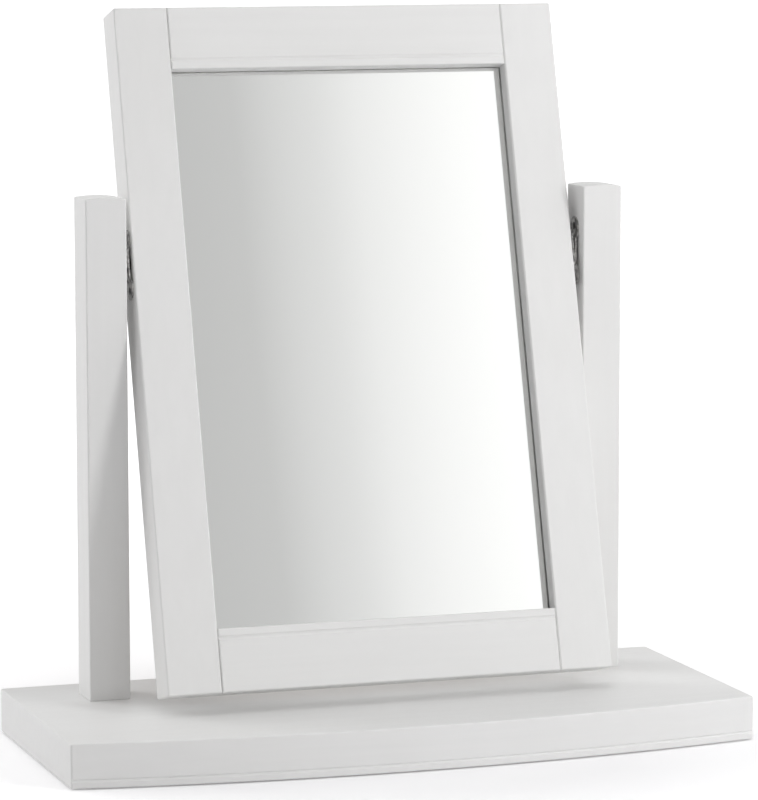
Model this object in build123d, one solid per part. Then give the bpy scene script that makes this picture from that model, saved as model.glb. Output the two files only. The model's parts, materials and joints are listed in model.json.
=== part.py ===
"""A dressing-table mirror: a bow-fronted base, two posts, and a framed glass that tilts between them.

Millimetres, +X to the right, +Y to the back, +Z up. The origin is the middle of the base's underside, on
the surface that it stands on. The frame, glass and back are drawn upright about the pivot and then leaned
back to the resting tilt.
"""

import math
import os

from build123d import *

# Base
base_width = 540.0
base_depth = 241.0  # at the middle of the bow
base_thickness = 33.5
base_bow = 24.0  # how far the front edge swells
base_corner_round = 2.0
base_arris = 1.2
groove_height = 6.0  # above the board's underside, along its front and back
groove_width = 2.8
groove_depth = 0.8
felt_thickness = 1.0
felt_inset = 6.0

# Posts
post_width = 32.0
post_depth = 35.0
post_above_pivot = 53.0
post_inset = 53.0  # from the board's ends
post_setback = 37.0  # from its back edge
post_crown = 1.2  # rise of the rounded top over its width
post_arris = 1.3
post_top_arris = 0.8
post_foot_chamfer = 0.4

# Post fixings, from beneath
bolt_radius = 3.0
bolt_length = 50.0
bolt_head_radius = 5.5
bolt_head_height = 4.0
bolt_socket_radius = 2.3
bolt_socket_depth = 2.5
bolt_clearance = 0.3
counterbore_radius = 8.5
counterbore_depth = 10.0
washer_radius = 7.5
washer_thickness = 1.2
insert_radius = 5.0
insert_length = 18.0
insert_hole_spare = 12.0  # drilled on past the insert for the bolt's tip
thread_clearance = 0.05
post_dowel_radius = 3.0
post_dowel_length = 30.0
post_dowel_offset = 11.5
dowel_clearance = 0.05
dowel_end_gap = 1.0

# Mirror frame
frame_height = 527.0
frame_thickness = 34.0
stile_width = 42.5
rail_width = 48.5
front_arris = 1.5
back_arris = 4.0
joint_chamfer = 1.1
joint_gap = 0.3  # open line at the foot of the joint's V
joint_gap_depth = 3.0
bead_width = 5.5  # rounded strip beside the glass
bead_round = 1.1
quirk_width = 3.2  # shallow hollow between the bead and the rail's face
quirk_depth = 0.9
glass_setback = 12.0  # front face to glass
glass_thickness = 3.0
glass_chamfer = 0.6
glass_lap = 8.0  # rebate behind the sight edge
glass_play = 1.0
silver_gap = 0.2
foam_thickness = 2.0
panel_lap = 17.0
panel_play = 0.6
panel_thickness = 6.0
panel_arris = 0.8
rail_dowel_radius = 4.0
rail_dowel_length = 50.0
rail_dowel_spacing = 20.0
rail_dowel_depth = 12.0  # front face to dowel's axis
panel_screw_radius = 1.75
panel_screw_length = 17.0
panel_screw_head_radius = 3.6
panel_screw_head_height = 2.2
panel_screw_inset = 5.0  # from the panel's edge
side_screw_count = 4
rail_screw_count = 3

# Swivel fittings
pivot_height = 366.0
pivot_behind_face = 12.0
swing_clearance = 1.2  # between the frame's lower back edge and the base, as the frame swings past upright
rest_tilt = 15.5
plate_length = 54.0
plate_width = 15.0
plate_thickness = 1.2
plate_lift = 1.75  # under the raised middle
plate_flat_half = 10.0
plate_slope = 4.0
plate_bend_round = 0.5
plate_screw_offset = 20.0
rivet_radius = 2.5
rivet_head_radius = 4.5
rivet_head_height = 1.1
rivet_head_chamfer = 0.5
rivet_fit = 0.02
running_fit = 0.05
friction_washer_radius = 5.0
friction_washer_thickness = 0.5
face_clearance = 0.05
spring_washer_radius = 4.3
spring_washer_thickness = 0.35
spring_washer_dish = 0.35
relief_radius = 6.0
relief_depth = 2.0
plate_screw_radius = 1.75
plate_screw_length = 16.0
plate_screw_tip = 2.5
recess_width = 0.7
recess_length = 3.2
recess_depth = 0.7

# Places worked out from the sizes above
base_top = felt_thickness + base_thickness
base_front = -base_depth / 2
base_back = base_depth / 2
bow_radius = ((base_width / 2) ** 2 + base_bow ** 2) / (2 * base_bow)
bow_centre_y = base_front + bow_radius
post_y = base_back - post_setback - post_depth / 2
post_x = (base_width - post_width) / 2 - post_inset
post_height = pivot_height + post_above_pivot - base_top
post_spacing = 2 * post_x - post_width  # clear width between them
hinge_stack = 2 * (plate_lift + plate_thickness + face_clearance) + friction_washer_thickness
frame_width = post_spacing - 2 * hinge_stack
swing_radius = pivot_height - base_top - swing_clearance
frame_bottom = -math.sqrt(swing_radius ** 2 - (frame_thickness - pivot_behind_face) ** 2)
frame_top = frame_bottom + frame_height
face_y = -pivot_behind_face
back_y = face_y + frame_thickness
opening_x = frame_width / 2 - stile_width
opening_bottom = frame_bottom + rail_width
opening_top = frame_top - rail_width
glass_y = face_y + glass_setback
foam_y = glass_y + glass_thickness + silver_gap
panel_y = foam_y + foam_thickness
leaned_back = Pos(0, post_y, pivot_height) * Rot(X=-rest_tilt)


def save(name, shape):
    export_step(shape, f"parts/{name}.step")


def save_pair(name, right_shape):
    """Writes a piece of the right side, and its mirror image for the left."""
    save(f"right_{name}", right_shape)
    save(f"left_{name}", mirror(right_shape, about=Plane.YZ))


def group(shapes):
    return Compound(children=list(shapes))


def slab(x0, x1, y0, y1, z0, z1):
    """A block between two corners."""
    return Pos(x0, y0, z0) * Box(x1 - x0, y1 - y0, z1 - z0, align=(Align.MIN, Align.MIN, Align.MIN))


def rod(radius, start, end):
    """A round bar from one point to another."""
    start, end = Vector(*start), Vector(*end)
    along = end - start
    return Plane(start, z_dir=along) * Cylinder(
        radius, along.length, align=(Align.CENTER, Align.CENTER, Align.MIN)
    )


def edges_near(shape, axis, **at):
    """The edges along an axis whose middles have the coordinates given."""
    def close(edge):
        middle = edge.center()
        return all(abs(getattr(middle, name.upper()) - value) < 1e-3 for name, value in at.items())

    return shape.edges().filter_by(axis).filter_by(close)


# Base

def board_outline(inset=0.0):
    """The board from above: straight back and sides, and one arc for the front."""
    half = base_width / 2 - inset
    radius = bow_radius - inset
    corner_y = bow_centre_y - math.sqrt(radius ** 2 - half ** 2)
    sides = Polyline(
        (-half, corner_y), (-half, base_back - inset), (half, base_back - inset), (half, corner_y)
    )
    front = ThreePointArc((half, corner_y), (0, base_front + inset), (-half, corner_y))
    return make_face(Curve() + [sides, front])


def post_fixing_places():
    return [(side * post_x, post_y) for side in (-1, 1)]


def post_dowel_places(x):
    return [(x, post_y + side * post_dowel_offset) for side in (-1, 1)]


def groove_section(y, inward):
    """A V that opens at y; inward is the direction in which it goes into the board."""
    z = felt_thickness + groove_height
    outside, bottom = y - inward * groove_depth, y + inward * groove_depth
    lines = Polyline((outside, z - groove_width), (bottom, z), (outside, z + groove_width), close=True)
    return make_face(Plane.YZ * lines)


def base_board():
    board = extrude(Pos(0, 0, felt_thickness) * board_outline(), base_thickness)
    board = fillet(board.edges().filter_by(Axis.Z), base_corner_round)
    board = fillet(board.faces().sort_by(Axis.Z)[-1].edges(), base_arris)
    board = fillet(board.faces().sort_by(Axis.Z)[0].edges(), base_arris)
    board -= revolve(groove_section(base_front, 1), Axis((0, bow_centre_y, 0), (0, 0, 1)))
    board -= extrude(groove_section(base_back, -1), base_width, both=True)
    for x, y in post_fixing_places():
        shoulder = felt_thickness + counterbore_depth
        board -= rod(counterbore_radius, (x, y, 0), (x, y, shoulder))
        board -= rod(bolt_radius + bolt_clearance, (x, y, shoulder), (x, y, base_top))
        for dowel_x, dowel_y in post_dowel_places(x):
            floor = base_top - post_dowel_length / 2 - dowel_end_gap
            board -= rod(
                post_dowel_radius + dowel_clearance, (dowel_x, dowel_y, floor), (dowel_x, dowel_y, base_top)
            )
    return board


def base_felt():
    felt = extrude(board_outline(felt_inset), felt_thickness)
    for x, y in post_fixing_places():
        felt -= rod(counterbore_radius, (x, y, 0), (x, y, felt_thickness))
    return felt


# Posts and what holds them

def right_post():
    foot, top = base_top, base_top + post_height
    inner = post_x - post_width / 2
    outer = inner + post_width
    shoulder = top - post_crown
    sides = Polyline((inner, shoulder), (inner, foot), (outer, foot), (outer, shoulder))
    crown = ThreePointArc((outer, shoulder), (post_x, top), (inner, shoulder))
    outline = make_face(Plane.XZ * (Curve() + [sides, crown]))
    post = Pos(0, post_y, 0) * extrude(outline, post_depth / 2, both=True)
    post = fillet(post.edges().filter_by(Axis.Z), post_arris)
    post = fillet(post.faces().sort_by(Axis.Z)[-1].edges(), post_top_arris)
    post = chamfer(post.faces().sort_by(Axis.Z)[0].edges(), post_foot_chamfer)
    insert_top = foot + insert_length
    post -= rod(insert_radius, (post_x, post_y, foot), (post_x, post_y, insert_top))
    hole_top = insert_top + insert_hole_spare
    post -= rod(bolt_radius + bolt_clearance, (post_x, post_y, insert_top), (post_x, post_y, hole_top))
    for x, y in post_dowel_places(post_x):
        ceiling = foot + post_dowel_length / 2 + dowel_end_gap
        post -= rod(post_dowel_radius + dowel_clearance, (x, y, foot), (x, y, ceiling))
    post -= rod(relief_radius, (inner, post_y, pivot_height), (inner + relief_depth, post_y, pivot_height))
    for side in (-1, 1):
        z = pivot_height + side * plate_screw_offset
        depth = plate_screw_length
        post -= rod(plate_screw_radius + thread_clearance, (inner, post_y, z), (inner + depth, post_y, z))
    return post


def post_bolt(x):
    """A button-head bolt with a socket, up through the washer and the board into the insert."""
    seat = felt_thickness + counterbore_depth - washer_thickness
    head = rod(bolt_head_radius, (x, post_y, seat - bolt_head_height), (x, post_y, seat))
    head = chamfer(head.faces().sort_by(Axis.Z)[0].edges(), bolt_head_height / 3)
    bolt = head + rod(bolt_radius, (x, post_y, seat), (x, post_y, seat + bolt_length))
    bolt = chamfer(bolt.faces().sort_by(Axis.Z)[-1].edges(), bolt_radius / 4)
    socket = Pos(x, post_y, seat - bolt_head_height) * RegularPolygon(bolt_socket_radius, 6)
    return bolt - extrude(socket, bolt_socket_depth)


def post_washer(x):
    top = felt_thickness + counterbore_depth
    ring = rod(washer_radius, (x, post_y, top - washer_thickness), (x, post_y, top))
    return ring - rod(bolt_radius + bolt_clearance, (x, post_y, top - washer_thickness), (x, post_y, top))


def post_insert(x):
    top = base_top + insert_length
    sleeve = rod(insert_radius, (x, post_y, base_top), (x, post_y, top))
    return sleeve - rod(bolt_radius + thread_clearance, (x, post_y, base_top), (x, post_y, top))


def post_dowels(x):
    half = post_dowel_length / 2
    dowels = []
    for dowel_x, dowel_y in post_dowel_places(x):
        dowel = rod(
            post_dowel_radius, (dowel_x, dowel_y, base_top - half), (dowel_x, dowel_y, base_top + half)
        )
        dowels.append(chamfer(dowel.edges().filter_by(GeomType.CIRCLE), post_dowel_radius / 4))
    return group(dowels)


# Mirror frame, drawn upright with the pivot at the origin

def right_stile():
    """Full-height side: eased outside, chamfered where the rails meet it, rebated between the rails."""
    outer = frame_width / 2
    stile = slab(opening_x, outer, face_y, back_y, frame_bottom, frame_top)
    stile = chamfer(edges_near(stile, Axis.Z, x=opening_x, y=face_y), joint_chamfer)
    stile = fillet(
        edges_near(stile, Axis.Z, x=outer, y=face_y)
        + edges_near(stile, Axis.Y, x=outer, z=frame_bottom)
        + edges_near(stile, Axis.Y, x=outer, z=frame_top)
        + stile.edges().filter_by(Axis.X).filter_by(lambda edge: abs(edge.center().Y - face_y) < 1e-3),
        front_arris,
    )
    back_edges = stile.faces().sort_by(Axis.Y)[-1].edges()
    stile = fillet(back_edges.filter_by(lambda edge: edge.center().X > opening_x + back_arris), back_arris)
    for lap, front in ((glass_lap, glass_y), (panel_lap, panel_y)):
        stile -= slab(
            opening_x, opening_x + lap, front, back_y, opening_bottom - lap, opening_top + lap
        )
    for x, z in rail_dowel_places():
        stile -= rail_dowel_hole(x, z)
    stile -= rod(relief_radius, (outer, 0, 0), (outer - relief_depth, 0, 0))
    hole_end = outer - plate_screw_length
    for z in (-plate_screw_offset, plate_screw_offset):
        stile -= rod(plate_screw_radius + thread_clearance, (outer, 0, z), (hole_end, 0, z))
    for x, z in panel_screw_places():
        if x > opening_x:
            stile -= panel_screw_hole(x, z)
    return stile


def rail_section():
    """Bottom rail from its end, with the two rebates behind its upper edge."""
    sight = opening_bottom
    lines = Polyline(
        (back_y, frame_bottom),
        (face_y, frame_bottom),
        (face_y, sight),
        (glass_y, sight),
        (glass_y, sight - glass_lap),
        (panel_y, sight - glass_lap),
        (panel_y, sight - panel_lap),
        (back_y, sight - panel_lap),
        close=True,
    )
    return make_face(Plane.YZ * lines)


def bottom_rail():
    """Eased lower edges, shoulders held off the stiles in front, and a bead and quirk along the sight edge."""
    rail = extrude(Pos(-opening_x, 0, 0) * rail_section(), 2 * opening_x, dir=(1, 0, 0))
    ends = rail.edges().filter_by(Axis.Z).filter_by(lambda edge: abs(edge.center().Y - face_y) < 1e-3)
    rail = chamfer(ends, joint_chamfer)
    for near, far in ((-opening_x, -opening_x + joint_gap), (opening_x - joint_gap, opening_x)):
        rail -= slab(near, far, face_y, face_y + joint_gap_depth, frame_bottom, opening_bottom)
    rail = fillet(edges_near(rail, Axis.X, y=face_y, z=frame_bottom), front_arris)
    rail = fillet(edges_near(rail, Axis.X, y=back_y, z=frame_bottom), back_arris)
    rail = fillet(edges_near(rail, Axis.X, y=face_y, z=opening_bottom), bead_round)
    quirk_radius = (quirk_width ** 2 / 4 + quirk_depth ** 2) / (2 * quirk_depth)
    quirk_y = face_y + quirk_depth - quirk_radius
    quirk_z = opening_bottom - bead_width - quirk_width / 2
    rail -= rod(quirk_radius, (-opening_x, quirk_y, quirk_z), (opening_x, quirk_y, quirk_z))
    for x, z in rail_dowel_places():
        for side in (-1, 1):
            if z < 0:
                rail -= rail_dowel_hole(side * x, z)
    for x, z in panel_screw_places():
        if z < opening_bottom:
            rail -= panel_screw_hole(x, z)
    return rail


def top_rail():
    """The bottom rail turned over, end for end, at the top of the frame."""
    middle = (frame_bottom + frame_top) / 2
    return mirror(bottom_rail(), about=Plane.XY.offset(middle))


def rail_dowel_places():
    """Where the dowels of the right-hand joints cross the joint faces."""
    margin = (rail_width - glass_lap) / 2
    return [
        (opening_x, rail_middle + side * rail_dowel_spacing / 2)
        for rail_middle in (frame_bottom + margin, frame_top - margin)
        for side in (-1, 1)
    ]


def rail_dowel_hole(x, z):
    half = rail_dowel_length / 2 + dowel_end_gap
    y = face_y + rail_dowel_depth
    return rod(rail_dowel_radius + dowel_clearance, (x - half, y, z), (x + half, y, z))


def rail_dowels(upper):
    half = rail_dowel_length / 2
    y = face_y + rail_dowel_depth
    dowels = []
    for x, z in rail_dowel_places():
        if (z > 0) == upper:
            for side in (-1, 1):
                dowel = rod(rail_dowel_radius, (side * x - half, y, z), (side * x + half, y, z))
                dowels.append(chamfer(dowel.edges().filter_by(GeomType.CIRCLE), rail_dowel_radius / 4))
    return group(dowels)


def mirror_glass():
    reach = glass_lap - glass_play
    glass = slab(
        -opening_x - reach, opening_x + reach, glass_y, glass_y + glass_thickness,
        opening_bottom - reach, opening_top + reach,
    )
    return chamfer(glass.edges(), glass_chamfer)


def backing_foam():
    reach = glass_lap - glass_play
    return slab(
        -opening_x - reach, opening_x + reach, foam_y, foam_y + foam_thickness,
        opening_bottom - reach, opening_top + reach,
    )


def back_panel():
    reach = panel_lap - panel_play
    panel = slab(
        -opening_x - reach, opening_x + reach, panel_y, panel_y + panel_thickness,
        opening_bottom - reach, opening_top + reach,
    )
    panel = fillet(panel.faces().sort_by(Axis.Y)[-1].edges(), panel_arris)
    for x, z in panel_screw_places():
        panel -= rod(
            panel_screw_radius + bolt_clearance, (x, panel_y, z), (x, panel_y + panel_thickness, z)
        )
    return panel


def spread(count, half):
    """Places spaced evenly over a width, with half a space left at each end."""
    return [half * (2 * index + 1 - count) / count for index in range(count)]


def panel_screw_places():
    """Screws round the panel's margin: a row up each side and a row along the top and bottom."""
    margin = panel_lap - panel_play - panel_screw_inset
    middle = (opening_bottom + opening_top) / 2
    half_height = (opening_top - opening_bottom) / 2
    places = []
    for side in (-1, 1):
        for z in spread(side_screw_count, half_height):
            places.append((side * (opening_x + margin), middle + z))
        for x in spread(rail_screw_count, opening_x):
            places.append((x, middle + side * (half_height + margin)))
    return places


def panel_screw_hole(x, z):
    depth = panel_screw_length - panel_thickness + dowel_end_gap
    return rod(panel_screw_radius + thread_clearance, (x, panel_y, z), (x, panel_y - depth, z))


def back_panel_screws():
    seat = panel_y + panel_thickness
    screws = []
    for x, z in panel_screw_places():
        head = rod(panel_screw_head_radius, (x, seat, z), (x, seat + panel_screw_head_height, z))
        head = chamfer(head.faces().sort_by(Axis.Y)[-1].edges(), panel_screw_head_height / 2)
        screws.append(head + rod(panel_screw_radius, (x, seat, z), (x, seat - panel_screw_length, z)))
    return group(screws)


# Swivel fittings of the right side, drawn with the pivot at y = 0, z = 0

def plate_screw(z, spare=0.0):
    """A countersunk wood screw into a wooden face at x = 0, or with some spare room the hole for it."""
    radius = plate_screw_radius + spare
    shank_end = plate_thickness + plate_screw_tip - plate_screw_length
    screw = rod(radius, (shank_end, 0, z), (0, 0, z))
    screw += Plane((0, 0, z), z_dir=(1, 0, 0)) * Cone(
        radius, radius + plate_thickness, plate_thickness, align=(Align.CENTER, Align.CENTER, Align.MIN)
    )
    screw += Plane((shank_end, 0, z), z_dir=(-1, 0, 0)) * Cone(
        radius, radius / 5, plate_screw_tip, align=(Align.CENTER, Align.CENTER, Align.MIN)
    )
    return screw


def plate_screws(wood_x, out):
    screws = []
    for z in (-plate_screw_offset, plate_screw_offset):
        screw = plate_screw(z)
        floor, face = plate_thickness - recess_depth, plate_thickness
        half_width, half_length = recess_width / 2, recess_length / 2
        screw -= slab(floor, face, -half_width, half_width, z - half_length, z + half_length)
        screw -= slab(floor, face, -half_length, half_length, z - half_width, z + half_width)
        screws.append(facing(wood_x, out, screw))
    return group(screws)


def facing(wood_x, out, shape):
    """Puts something drawn on a wooden face at x = 0 on to one at wood_x that faces right or left."""
    if out < 0:
        shape = mirror(shape, about=Plane.YZ)
    return Pos(wood_x, 0, 0) * shape


def plate(wood_x, out, rivet_clearance):
    """A pressed strap, round at both ends, whose middle stands out from the wood like a low bridge."""
    half = plate_length / 2
    foot = plate_flat_half + plate_slope
    raised = plate_lift + plate_thickness
    inner_shift = plate_thickness * math.tan(math.atan2(plate_lift, plate_slope) / 2)
    upper = [
        (plate_lift, plate_flat_half - inner_shift), (0, foot - inner_shift), (0, half),
        (plate_thickness, half), (plate_thickness, foot), (raised, plate_flat_half),
    ]
    lower = [(x, -z) for x, z in reversed(upper)]
    metal = extrude(make_face(Plane.XZ * Polyline(*upper, *lower, close=True)), plate_width, both=True)
    bends = metal.edges().filter_by(Axis.Y).filter_by(lambda edge: abs(edge.center().Z) < half)
    metal = fillet(bends, plate_bend_round)
    metal &= extrude(Plane.YZ * SlotOverall(plate_length, plate_width, rotation=90), raised)
    metal -= rod(rivet_radius + rivet_clearance, (0, 0, 0), (raised, 0, 0))
    for z in (-plate_screw_offset, plate_screw_offset):
        metal -= plate_screw(z, thread_clearance)
    return facing(wood_x, out, metal)


def post_plate():
    return plate(post_spacing / 2, -1, rivet_fit)


def frame_plate():
    return plate(frame_width / 2, 1, running_fit)


def pivot_rivet():
    """Headed at both ends: one head inside each strap's bridge."""
    post_end = post_spacing / 2 - plate_lift
    frame_end = frame_width / 2 + plate_lift - face_clearance - spring_washer_thickness - spring_washer_dish
    rivet = rod(rivet_radius, (frame_end, 0, 0), (post_end, 0, 0))
    for x, out in ((post_end, 1), (frame_end, -1)):
        head = rod(rivet_head_radius, (x, 0, 0), (x + out * rivet_head_height, 0, 0))
        outer_edges = head.edges().filter_by(GeomType.CIRCLE).sort_by(Axis.X)
        rivet += chamfer(outer_edges[-1 if out > 0 else 0], rivet_head_chamfer)
    return rivet


def friction_washer():
    start = frame_width / 2 + plate_lift + plate_thickness + face_clearance
    ring = rod(friction_washer_radius, (start, 0, 0), (start + friction_washer_thickness, 0, 0))
    return ring - rod(rivet_radius + running_fit, (start, 0, 0), (start + friction_washer_thickness, 0, 0))


def spring_washer():
    """A shallow cone whose rim bears on the frame's strap and whose middle bears on the rivet's head."""
    rim_x = frame_width / 2 + plate_lift - face_clearance
    inner = rivet_radius + running_fit
    lines = Polyline(
        (rim_x, spring_washer_radius),
        (rim_x - spring_washer_thickness, spring_washer_radius),
        (rim_x - spring_washer_thickness - spring_washer_dish, inner),
        (rim_x - spring_washer_dish, inner),
        close=True,
    )
    return revolve(make_face(lines), Axis.X)


os.makedirs("parts", exist_ok=True)

save("base_board", base_board())
save("base_felt", base_felt())
for side_name, side in (("left", -1), ("right", 1)):
    save(f"{side_name}_post_bolt", post_bolt(side * post_x))
    save(f"{side_name}_post_washer", post_washer(side * post_x))
    save(f"{side_name}_post_insert", post_insert(side * post_x))
    save(f"{side_name}_post_dowels", post_dowels(side * post_x))
save_pair("post", right_post())

at_pivot = Pos(0, post_y, pivot_height)
save_pair("post_plate", at_pivot * post_plate())
save_pair("post_plate_screws", at_pivot * plate_screws(post_spacing / 2, -1))
save_pair("pivot_rivet", at_pivot * pivot_rivet())
save_pair("friction_washer", at_pivot * friction_washer())
save_pair("spring_washer", at_pivot * spring_washer())
save_pair("frame_plate", leaned_back * frame_plate())
save_pair("frame_plate_screws", leaned_back * plate_screws(frame_width / 2, 1))

save_pair("stile", leaned_back * right_stile())
save("top_rail", leaned_back * top_rail())
save("bottom_rail", leaned_back * bottom_rail())
save("top_rail_dowels", leaned_back * rail_dowels(upper=True))
save("bottom_rail_dowels", leaned_back * rail_dowels(upper=False))
save("mirror_glass", leaned_back * mirror_glass())
save("backing_foam", leaned_back * backing_foam())
save("back_panel", leaned_back * back_panel())
save("back_panel_screws", leaned_back * back_panel_screws())
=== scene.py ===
"""The dressing-table mirror's finishes, small fittings, floor, light and camera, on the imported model.

Metres, with +X to the right, +Y to the back and +Z up, and the origin under the middle of the base.
"""

import json
import math

import bpy
from mathutils import Matrix, Vector


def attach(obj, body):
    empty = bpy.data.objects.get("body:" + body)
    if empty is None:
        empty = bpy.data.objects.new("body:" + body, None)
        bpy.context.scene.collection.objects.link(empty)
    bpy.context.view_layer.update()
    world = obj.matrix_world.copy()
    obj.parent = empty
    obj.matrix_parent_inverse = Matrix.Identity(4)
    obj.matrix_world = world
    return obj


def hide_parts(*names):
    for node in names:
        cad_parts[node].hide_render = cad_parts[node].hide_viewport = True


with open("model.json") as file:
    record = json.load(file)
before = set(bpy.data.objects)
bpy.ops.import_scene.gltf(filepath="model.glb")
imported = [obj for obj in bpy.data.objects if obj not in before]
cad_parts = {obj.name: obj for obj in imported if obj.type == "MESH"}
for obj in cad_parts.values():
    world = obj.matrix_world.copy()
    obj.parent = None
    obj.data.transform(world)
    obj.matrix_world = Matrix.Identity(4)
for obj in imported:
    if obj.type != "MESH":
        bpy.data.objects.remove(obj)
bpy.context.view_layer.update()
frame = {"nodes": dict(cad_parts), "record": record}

# How the mirror hangs at rest, as in the solids
tilt = math.radians(15.5)
pivot = Vector((0, 0.066, 0.366))
across = Vector((1, 0, 0))
up_frame = Vector((0, math.sin(tilt), math.cos(tilt)))
into_frame = Vector((0, math.cos(tilt), -math.sin(tilt)))
lean = (-tilt, 0, 0)

# The glass, measured from the pivot
glass_half_width = 0.143
glass_low = -0.28807
glass_high = 0.15593
glass_front = 0.0
glass_thickness = 0.003
glass_bevel = 0.0006

# The back panel's screws, measured from the pivot
panel_face = 0.0112
side_screws_x = 0.1474
side_screws_up = (-0.22732, -0.11982, -0.01232, 0.09518)
end_screws_x = (-0.09067, 0.0, 0.09067)
end_screws_up = (-0.29247, 0.16033)
head_radius = 0.0036
head_height = 0.0022
cross_length = 0.0036
cross_width = 0.0008
cross_depth = 0.0011
first_turn = 17  # degrees that the first cross is turned, and each next one further
next_turn = 41
smooth_angle = math.radians(35)

# Each finish's colours, in its darkest patches and its palest
paint_colours = ((0.79, 0.787, 0.778), (0.822, 0.82, 0.815))
worn_colours = ((0.15, 0.147, 0.142), (0.66, 0.655, 0.64))
black_colours = ((0.025, 0.024, 0.023), (0.12, 0.117, 0.113))
zinc_colours = ((0.5, 0.5, 0.49), (0.66, 0.665, 0.66))
brass_colours = ((0.55, 0.4, 0.17), (0.72, 0.55, 0.26))
beech_colours = ((0.52, 0.36, 0.22), (0.68, 0.5, 0.33))
board_colours = ((0.2, 0.118, 0.062), (0.27, 0.165, 0.092))
board_pale_fibres = ((0.0, 0.0, 0.0), (0.16, 0.11, 0.07))
felt_colours = ((0.055, 0.056, 0.058), (0.11, 0.112, 0.115))
foam_greys = (0.6, 0.8)
fibre_colours = ((0.13, 0.03, 0.022), (0.22, 0.06, 0.045))
glass_colours = ((0.978, 0.985, 0.978), (0.982, 0.988, 0.982))
silver_colours = ((0.94, 0.94, 0.932), (0.95, 0.95, 0.944))
floor_colours = ((0.79, 0.785, 0.795), (0.81, 0.805, 0.815))

# The floor's glow, which looking rays see as stops of (distance, strength); its dimmer glow near the base
# is a painted shadow around the object
floor_size = 60
glow_scale = 0.4
glow_and_painted_shadow_stops = ((0.08, 0.21), (0.15, 0.39), (1.0, 1.0))
glow_in_gloss = 0.35

# The sky: its light, and the greys that gloss mirrors from its left to its right
sky_light = 0.46
sky_left = -0.34
sky_right = 0.38
sky_slant = 0.07
sky_greys = (
    (0.0, 0.7), (0.472, 0.63), (0.75, 0.59), (0.889, 0.57), (0.903, 0.59), (0.914, 0.61),
    (0.928, 0.72), (0.94, 0.79), (0.953, 0.9), (0.967, 0.98), (0.984, 1.06), (1.0, 1.12),
)

# Lamps: name, place, width and height, watts, and whether gloss mirrors them
lamp_target = Vector((0, 0, 0.3))
lamps = (
    ("right lamp", (1.0, -1.3, 0.75), (0.4, 1.0), 11.3, False),
    ("far right lamp", (1.9, -0.6, 0.8), (1.0, 1.4), 4.0, True),
    ("rear left lamp", (-1.8, 1.3, 1.1), (1.2, 1.8), 20.4, True),
    ("back lamp", (0.0, 2.0, 1.8), (2.0, 1.2), 3.2, True),
    ("overhead lamp", (-0.2, -0.3, 2.0), (1.2, 1.2), 5.6, True),
)

# The camera, with its lens and sensor in millimetres and its angles in radians
camera_place = (-0.99744, -2.93647, 0.66384)
camera_turn = -0.32724
camera_fall = 0.12845
camera_roll = -0.00076
camera_sensor = 36
camera_lens = 184.8


# Materials

def new_material(name):
    material = bpy.data.materials.new(name)
    material.use_nodes = True
    nodes = material.node_tree.nodes
    nodes.clear()
    shader = nodes.new("ShaderNodeBsdfPrincipled")
    output = nodes.new("ShaderNodeOutputMaterial")
    material.node_tree.links.new(shader.outputs["BSDF"], output.inputs["Surface"])
    return material, shader


def join(material, source, socket):
    material.node_tree.links.new(source, socket)


def object_coordinates(material, scale=(1, 1, 1), turn=(0, 0, 0)):
    nodes = material.node_tree.nodes
    place = nodes.new("ShaderNodeTexCoord")
    mapping = nodes.new("ShaderNodeMapping")
    mapping.inputs["Scale"].default_value = scale
    mapping.inputs["Rotation"].default_value = turn
    join(material, place.outputs["Object"], mapping.inputs["Vector"])
    return mapping.outputs["Vector"]


def noise(material, coordinates, scale, detail=4.0, roughness=0.5, distortion=0.0):
    texture = material.node_tree.nodes.new("ShaderNodeTexNoise")
    texture.inputs["Scale"].default_value = scale
    texture.inputs["Detail"].default_value = detail
    texture.inputs["Roughness"].default_value = roughness
    texture.inputs["Distortion"].default_value = distortion
    join(material, coordinates, texture.inputs["Vector"])
    return texture.outputs["Fac"]


def ramp(material, factor, *stops):
    """Turns a factor into a colour or a grey through stops of (position, colour)."""
    node = material.node_tree.nodes.new("ShaderNodeValToRGB")
    elements = node.color_ramp.elements
    while len(elements) < len(stops):
        elements.new(0.5)
    for element, (position, colour) in zip(elements, stops):
        element.position = position
        element.color = (*colour, 1) if isinstance(colour, tuple) else (colour, colour, colour, 1)
    join(material, factor, node.inputs["Fac"])
    return node.outputs["Color"]


def between(material, factor, low, high, start=0.3, end=0.7):
    """Turns a factor into a colour or a grey from low to high, as it goes from start to end."""
    return ramp(material, factor, (start, low), (end, high))


def blended(material, factor, first, second, kind="MIX"):
    node = material.node_tree.nodes.new("ShaderNodeMix")
    node.data_type = "RGBA"
    node.blend_type = kind
    node.inputs["Factor"].default_value = factor
    join(material, first, node.inputs["A"])
    join(material, second, node.inputs["B"])
    return node.outputs["Result"]


def bumped(material, shader, *layers):
    """Adds bump layers of (height, strength, distance), one on the other."""
    normal = None
    for height, strength, distance in layers:
        node = material.node_tree.nodes.new("ShaderNodeBump")
        node.inputs["Strength"].default_value = strength
        node.inputs["Distance"].default_value = distance
        join(material, height, node.inputs["Height"])
        if normal is not None:
            join(material, normal, node.inputs["Normal"])
        normal = node.outputs["Normal"]
    join(material, normal, shader.inputs["Normal"])


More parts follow.
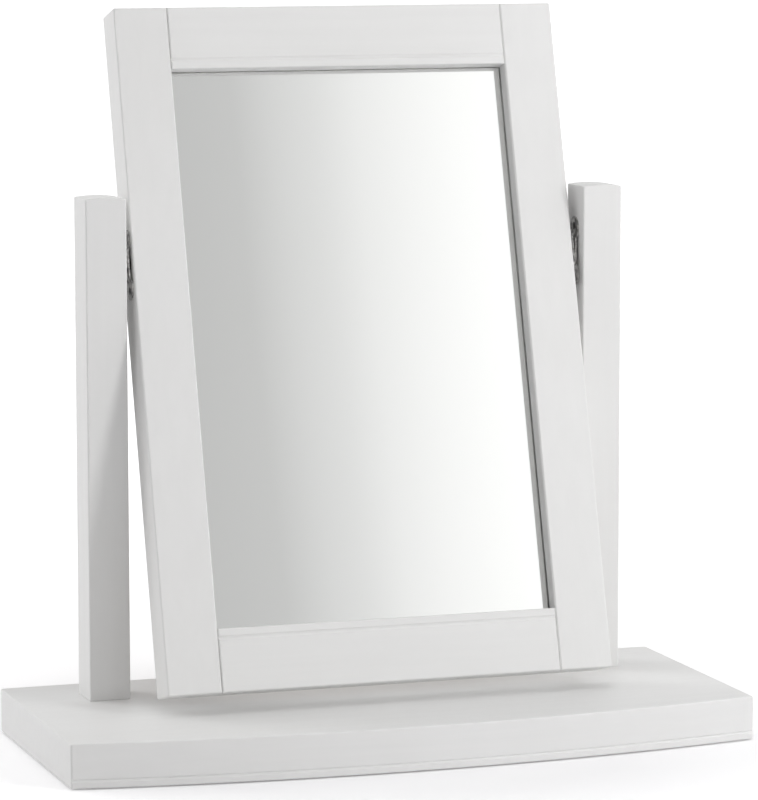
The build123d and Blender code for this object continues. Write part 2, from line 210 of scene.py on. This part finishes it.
def white_paint(name, along, turn=(0, 0, 0)):
    """Satin off-white paint, with the timber's grain just telling through it along one axis."""
    material, shader = new_material(name)
    spot = object_coordinates(material)
    grain_scale = [1.0, 1.0, 1.0]
    grain_scale["XYZ".index(along)] = 0.04
    grain_place = object_coordinates(material, tuple(grain_scale), turn)
    cloud = noise(material, spot, 5.0, detail=3.0)
    fine = noise(material, spot, 240.0, detail=2.0)
    brushed = noise(material, grain_place, 420.0, detail=3.0, roughness=0.6)
    grain = noise(material, grain_place, 110.0, detail=5.0, roughness=0.65, distortion=0.4)
    coat = between(material, cloud, *paint_colours)
    grain_tint = between(material, grain, 0.955, 1.0, 0.35, 0.62)
    join(material, blended(material, 0.35, coat, grain_tint, "MULTIPLY"), shader.inputs["Base Color"])
    join(material, between(material, fine, 0.4, 0.5), shader.inputs["Roughness"])
    shader.inputs["Specular IOR Level"].default_value = 0.4
    bumped(material, shader, (grain, 0.06, 0.0004), (brushed, 0.04, 0.00025), (fine, 0.06, 0.0002))
    return material


def steel(name, colours):
    """Steel with its dark finish rubbed through in small patches."""
    material, shader = new_material(name)
    spot = object_coordinates(material)
    patches = noise(material, spot, 210.0, detail=5.0, roughness=0.6)
    specks = noise(material, spot, 900.0, detail=3.0)
    join(material, between(material, patches, *colours, 0.38, 0.64), shader.inputs["Base Color"])
    shader.inputs["Metallic"].default_value = 0.9
    join(material, between(material, specks, 0.34, 0.5), shader.inputs["Roughness"])
    bumped(material, shader, (patches, 0.2, 0.0002), (specks, 0.12, 0.0001))
    return material


def plated_steel():
    """Zinc-plated steel with the crystals' faint cloudiness."""
    material, shader = new_material("zinc-plated steel")
    spot = object_coordinates(material)
    cloud = noise(material, spot, 260.0, detail=3.0)
    fine = noise(material, spot, 1800.0, detail=2.0)
    join(material, between(material, cloud, *zinc_colours, 0.35, 0.65), shader.inputs["Base Color"])
    shader.inputs["Metallic"].default_value = 1.0
    join(material, between(material, fine, 0.26, 0.42), shader.inputs["Roughness"])
    bumped(material, shader, (fine, 0.08, 0.0001))
    return material


def turned_brass():
    """Brass with the fine rings that a lathe leaves."""
    material, shader = new_material("turned brass")
    rings = object_coordinates(material, (1, 1, 60))
    fine = noise(material, rings, 90.0, detail=2.0)
    join(material, between(material, fine, *brass_colours), shader.inputs["Base Color"])
    shader.inputs["Metallic"].default_value = 1.0
    shader.inputs["Roughness"].default_value = 0.3
    bumped(material, shader, (fine, 0.15, 0.0001))
    return material


def bare_beech():
    """Unfinished beech, with its short dark flecks."""
    material, shader = new_material("bare beech")
    grain = noise(material, object_coordinates(material, (0.08, 1, 1)), 320.0, detail=5.0, roughness=0.6)
    flecks = noise(material, object_coordinates(material, (0.3, 1, 1)), 1400.0, detail=2.0)
    wood = between(material, grain, *beech_colours)
    fleck_tint = between(material, flecks, 0.8, 1.0, 0.35, 0.55)
    join(material, blended(material, 0.6, wood, fleck_tint, "MULTIPLY"), shader.inputs["Base Color"])
    shader.inputs["Roughness"].default_value = 0.7
    bumped(material, shader, (grain, 0.2, 0.0002))
    return material


def brown_board():
    """The back panel: smooth-faced hardboard with dark and pale fibres pressed into it."""
    material, shader = new_material("brown hardboard")
    spot = object_coordinates(material)
    dark_fibres = object_coordinates(material, (1, 0.12, 1), (0.3, 0.5, 0.9))
    pale_fibres = object_coordinates(material, (0.14, 1, 1), (0.7, 0.2, 0.4))
    cloud = noise(material, spot, 14.0, detail=4.0)
    dark = noise(material, dark_fibres, 900.0, detail=3.0)
    pale = noise(material, pale_fibres, 800.0, detail=3.0)
    pits = noise(material, spot, 2200.0, detail=2.0)
    board = between(material, cloud, *board_colours)
    dark_tint = between(material, dark, 0.55, 1.0, 0.36, 0.5)
    pale_tint = between(material, pale, *board_pale_fibres, 0.56, 0.72)
    mottled = blended(material, 0.8, board, dark_tint, "MULTIPLY")
    join(material, blended(material, 0.7, mottled, pale_tint, "ADD"), shader.inputs["Base Color"])
    join(material, between(material, pits, 0.45, 0.62), shader.inputs["Roughness"])
    bumped(material, shader, (dark, 0.12, 0.0002), (pits, 0.1, 0.0001))
    return material


def grey_felt():
    """Pressed wool: mottled, soft and matt."""
    material, shader = new_material("grey felt")
    one_way = object_coordinates(material, (1, 0.15, 1), (0, 0, 0.6))
    other_way = object_coordinates(material, (0.15, 1, 1), (0, 0, 0.2))
    mottle = noise(material, object_coordinates(material), 160.0, detail=5.0, roughness=0.7)
    wool_one = noise(material, one_way, 1500.0, detail=3.0)
    wool_two = noise(material, other_way, 1300.0, detail=3.0)
    felt = between(material, mottle, *felt_colours)
    pale = between(material, wool_one, 0.0, 0.1, 0.5, 0.75)
    join(material, blended(material, 0.8, felt, pale, "ADD"), shader.inputs["Base Color"])
    shader.inputs["Roughness"].default_value = 0.95
    shader.inputs["Sheen Weight"].default_value = 0.4
    shader.inputs["Specular IOR Level"].default_value = 0.2
    bumped(material, shader, (wool_one, 0.5, 0.0004), (wool_two, 0.5, 0.0004), (mottle, 0.4, 0.0006))
    return material


def white_foam():
    """Fine-celled foam sheet."""
    material, shader = new_material("white foam")
    cells = material.node_tree.nodes.new("ShaderNodeTexVoronoi")
    cells.inputs["Scale"].default_value = 1400.0
    join(material, object_coordinates(material), cells.inputs["Vector"])
    distance = cells.outputs["Distance"]
    join(material, between(material, distance, *foam_greys, 0.0, 0.6), shader.inputs["Base Color"])
    shader.inputs["Roughness"].default_value = 0.9
    bumped(material, shader, (distance, 0.4, 0.0003))
    return material


def red_fibre():
    """The friction washers' pressed fibre."""
    material, shader = new_material("red fibre")
    mottle = noise(material, object_coordinates(material), 900.0, detail=4.0)
    join(material, between(material, mottle, *fibre_colours), shader.inputs["Base Color"])
    shader.inputs["Roughness"].default_value = 0.6
    bumped(material, shader, (mottle, 0.15, 0.0001))
    return material


def clear_glass():
    """Float glass, with the faint green that shows at its edges."""
    material, shader = new_material("clear glass")
    cloud = noise(material, object_coordinates(material), 3.0, detail=1.0)
    join(material, between(material, cloud, *glass_colours), shader.inputs["Base Color"])
    shader.inputs["Transmission Weight"].default_value = 1.0
    shader.inputs["Roughness"].default_value = 0.0
    shader.inputs["IOR"].default_value = 1.5
    return material


def silvering():
    """The silver on the back of the glass."""
    material, shader = new_material("silvering")
    haze = noise(material, object_coordinates(material), 4.0, detail=2.0)
    join(material, between(material, haze, *silver_colours), shader.inputs["Base Color"])
    shader.inputs["Metallic"].default_value = 1.0
    shader.inputs["Roughness"].default_value = 0.004
    return material


paint_upright = white_paint("white paint, grain up", "Z")
paint_leaning = white_paint("white paint, grain up the frame", "Z", (tilt, 0, 0))
worn = steel("worn steel", worn_colours)
zinc = plated_steel()

finishes = {
    "white_paint": white_paint("white paint, grain across", "X"),
    "dark_steel": steel("blackened steel", black_colours),
    "zinc_steel": zinc,
    "brass": turned_brass(),
    "beech": bare_beech(),
    "hardboard": brown_board(),
    "grey_felt": grey_felt(),
    "foam": white_foam(),
    "fibre": red_fibre(),
}
own_finishes = {
    "left_post": paint_upright,
    "right_post": paint_upright,
    "left_stile": paint_leaning,
    "right_stile": paint_leaning,
    "left_post_plate": worn,
    "right_post_plate": worn,
    "left_frame_plate": worn,
    "right_frame_plate": worn,
}
for part in frame["record"]["subparts"]:
    node = frame["nodes"][part["node"]]
    finish = own_finishes.get(part["node"], finishes.get(part["material_slot"]))
    if finish:
        node.data.materials.clear()
        node.data.materials.append(finish)


# Modelling

def on_frame(x, behind, up):
    """A place on the leaning frame: across it, behind the pivot and up it."""
    return pivot + across * x + into_frame * behind + up_frame * up


def deselect_all():
    bpy.ops.object.select_all(action="DESELECT")


def pick_faces(piece, wanted):
    """Selects a piece's faces by a test on each, and leaves the piece in edit mode."""
    bpy.context.view_layer.objects.active = piece
    piece.select_set(True)
    bpy.ops.object.mode_set(mode="EDIT")
    bpy.ops.mesh.select_mode(type="FACE")
    bpy.ops.mesh.select_all(action="DESELECT")
    bpy.ops.object.mode_set(mode="OBJECT")
    for face in piece.data.polygons:
        face.select = wanted(face)
    bpy.ops.object.mode_set(mode="EDIT")


def finish_piece(name, piece, body, slot, *nodes):
    """Puts a piece's place into its mesh, and says what it is and which nodes it replaces."""
    bpy.ops.object.mode_set(mode="OBJECT")
    bpy.ops.object.transform_apply(location=True, rotation=True, scale=True)
    piece.name = name
    piece.data.name = name
    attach(piece, body)
    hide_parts(*nodes)
    piece.select_set(False)


def faces_back(face):
    return face.normal.y > 0.99


def make_glass():
    """The pane, bevelled all round, with its back face silvered."""
    deselect_all()
    centre = on_frame(0, glass_front + glass_thickness / 2, (glass_low + glass_high) / 2)
    size = (2 * glass_half_width, glass_thickness, glass_high - glass_low)
    bpy.ops.mesh.primitive_cube_add(size=1, location=centre, rotation=lean, scale=size)
    pane = bpy.context.object
    bpy.ops.object.transform_apply(location=False, rotation=False, scale=True)
    bevel = pane.modifiers.new("edge bevel", "BEVEL")
    bevel.width = glass_bevel
    bevel.segments = 2
    bpy.ops.object.modifier_apply(modifier=bevel.name)
    pane.data.materials.append(clear_glass())
    pane.data.materials.append(silvering())
    pick_faces(pane, faces_back)
    pane.active_material_index = 1
    bpy.ops.object.material_slot_assign()
    finish_piece("glass_pane", pane, "mirror", "silvered_glass", "mirror_glass")


def screw_places():
    """Where the back panel's screws stand: four up each side, then three across each end."""
    sides = [(side * side_screws_x, up) for side in (-1, 1) for up in side_screws_up]
    return sides + [(x, up) for up in end_screws_up for x in end_screws_x]


def cut_cross(head):
    """Cuts a screw head's cross recess with two crossed bars."""
    for turn in (0, math.pi / 2):
        deselect_all()
        bpy.ops.mesh.primitive_cube_add(
            size=1, location=(0, 0, head_height), rotation=(0, 0, turn),
            scale=(cross_length, cross_width, 2 * cross_depth),
        )
        cutter = bpy.context.object
        cut = head.modifiers.new("cross recess", "BOOLEAN")
        cut.operation = "DIFFERENCE"
        cut.object = cutter
        cut.solver = "EXACT"
        bpy.context.view_layer.objects.active = head
        bpy.ops.object.modifier_apply(modifier=cut.name)
        bpy.data.objects.remove(cutter)


def make_panel_screws():
    """Pan heads with a cross recess, modelled once and copied."""
    deselect_all()
    bpy.ops.mesh.primitive_uv_sphere_add(segments=32, ring_count=16, radius=head_radius)
    head = bpy.context.object
    bpy.ops.object.mode_set(mode="EDIT")
    bpy.ops.mesh.bisect(plane_co=(0, 0, 0), plane_no=(0, 0, 1), use_fill=True, clear_inner=True)
    bpy.ops.mesh.select_all(action="SELECT")
    bpy.ops.transform.resize(value=(1, 1, head_height / head_radius))
    bpy.ops.object.mode_set(mode="OBJECT")
    cut_cross(head)
    head.data.materials.append(zinc)
    face_out = Vector((0, 0, 1)).rotation_difference(into_frame)
    copies = []
    for index, (x, up) in enumerate(screw_places()):
        copy = head.copy()
        copy.data = head.data.copy()
        bpy.context.collection.objects.link(copy)
        spin = Matrix.Rotation(math.radians(first_turn + next_turn * index), 4, "Z")
        place = Matrix.Translation(on_frame(x, panel_face, up))
        copy.matrix_world = place @ face_out.to_matrix().to_4x4() @ spin
        copies.append(copy)
    bpy.data.objects.remove(head)
    deselect_all()
    for copy in copies:
        copy.select_set(True)
    bpy.context.view_layer.objects.active = copies[0]
    bpy.ops.object.join()
    screws = bpy.context.object
    bpy.ops.object.shade_smooth_by_angle(angle=smooth_angle)
    finish_piece("panel_screw_heads", screws, "mirror", "zinc_steel", "back_panel_screws")


make_glass()
make_panel_screws()


# Floor, light and camera

def add_glow_and_painted_shadow(material, shader):
    """Adds white glow that lights nothing: looking rays see it grow with distance, so it is weakest near
    the base as a painted shadow; gloss sees it even.
    """
    nodes = material.node_tree.nodes
    reach = nodes.new("ShaderNodeVectorMath")
    reach.operation = "LENGTH"
    join(material, object_coordinates(material, (glow_scale,) * 3), reach.inputs[0])
    # painted shadow: the glow is weakest near the base and rises with distance from it
    painted_shadow_glow = ramp(material, reach.outputs["Value"], *glow_and_painted_shadow_stops)
    path = nodes.new("ShaderNodeLightPath")
    seen = nodes.new("ShaderNodeMath")
    seen.operation = "MAXIMUM"
    join(material, path.outputs["Is Camera Ray"], seen.inputs[0])
    join(material, path.outputs["Is Transmission Ray"], seen.inputs[1])
    level = nodes.new("ShaderNodeMath")
    level.operation = "MULTIPLY"
    join(material, seen.outputs["Value"], level.inputs[0])
    join(material, painted_shadow_glow, level.inputs[1])
    both = nodes.new("ShaderNodeMath")
    both.operation = "MULTIPLY_ADD"
    join(material, path.outputs["Is Glossy Ray"], both.inputs[0])
    both.inputs[1].default_value = glow_in_gloss
    join(material, level.outputs["Value"], both.inputs[2])
    shader.inputs["Emission Color"].default_value = (1, 1, 1, 1)
    join(material, both.outputs["Value"], shader.inputs["Emission Strength"])


def make_floor():
    deselect_all()
    bpy.ops.mesh.primitive_plane_add(size=floor_size, location=(0, 0, 0))
    floor = bpy.context.object
    floor.name = "studio_floor"
    material, shader = new_material("studio floor with painted shadow")
    cloud = noise(material, object_coordinates(material), 2.0, detail=2.0)
    join(material, between(material, cloud, *floor_colours), shader.inputs["Base Color"])
    shader.inputs["Roughness"].default_value = 0.8
    shader.inputs["Specular IOR Level"].default_value = 0.1
    # the floor's glow is dimmed near the base, a painted shadow
    add_glow_and_painted_shadow(material, shader)
    floor.data.materials.append(material)


def make_sky():
    """White to the camera; to gloss, grey that turns white at the right; to other rays, plain grey."""
    world = bpy.data.worlds.new("studio")
    bpy.context.scene.world = world
    world.use_nodes = True
    nodes = world.node_tree.nodes
    nodes.clear()
    output = nodes.new("ShaderNodeOutputWorld")
    background = nodes.new("ShaderNodeBackground")
    path = nodes.new("ShaderNodeLightPath")
    direction = nodes.new("ShaderNodeTexCoord")
    parts = nodes.new("ShaderNodeSeparateXYZ")
    join(world, direction.outputs["Generated"], parts.inputs["Vector"])
    slant = nodes.new("ShaderNodeMath")
    slant.operation = "MULTIPLY_ADD"
    join(world, parts.outputs["Z"], slant.inputs[0])
    slant.inputs[1].default_value = sky_slant
    join(world, parts.outputs["X"], slant.inputs[2])
    spread = nodes.new("ShaderNodeMapRange")
    spread.inputs["From Min"].default_value = sky_left
    spread.inputs["From Max"].default_value = sky_right
    join(world, slant.outputs["Value"], spread.inputs["Value"])
    wall = ramp(world, spread.outputs["Result"], *sky_greys)
    lighting = nodes.new("ShaderNodeMix")
    lighting.data_type = "RGBA"
    lighting.inputs["A"].default_value = (sky_light, sky_light, sky_light, 1)
    join(world, path.outputs["Is Glossy Ray"], lighting.inputs["Factor"])
    join(world, wall, lighting.inputs["B"])
    shown = nodes.new("ShaderNodeMix")
    shown.data_type = "RGBA"
    join(world, path.outputs["Is Camera Ray"], shown.inputs["Factor"])
    join(world, lighting.outputs["Result"], shown.inputs["A"])
    shown.inputs["B"].default_value = (1, 1, 1, 1)
    join(world, shown.outputs["Result"], background.inputs["Color"])
    join(world, background.outputs["Background"], output.inputs["Surface"])


def soft_lamp(name, place, size, power, in_gloss):
    """An area lamp; one that is kept out of gloss lights the object but isn't mirrored in it."""
    data = bpy.data.lights.new(name, "AREA")
    data.shape = "RECTANGLE"
    data.size, data.size_y = size
    data.energy = power
    lamp = bpy.data.objects.new(name, data)
    bpy.context.collection.objects.link(lamp)
    lamp.visible_glossy = in_gloss
    lamp.location = place
    lamp.rotation_euler = (lamp_target - Vector(place)).to_track_quat("-Z", "Y").to_euler()


def make_camera():
    data = bpy.data.cameras.new("camera")
    data.sensor_width = camera_sensor
    data.lens = camera_lens
    data.clip_end = 100
    camera = bpy.data.objects.new("camera", data)
    bpy.context.collection.objects.link(camera)
    camera.location = camera_place
    turned = Matrix.Rotation(camera_turn, 3, "Z") @ Matrix.Rotation(math.pi / 2 - camera_fall, 3, "X")
    camera.rotation_euler = (turned @ Matrix.Rotation(camera_roll, 3, "Z")).to_euler()
    bpy.context.scene.camera = camera


make_floor()
make_sky()
for lamp in lamps:
    soft_lamp(*lamp)
make_camera()
bpy.context.scene.view_settings.view_transform = "Standard"
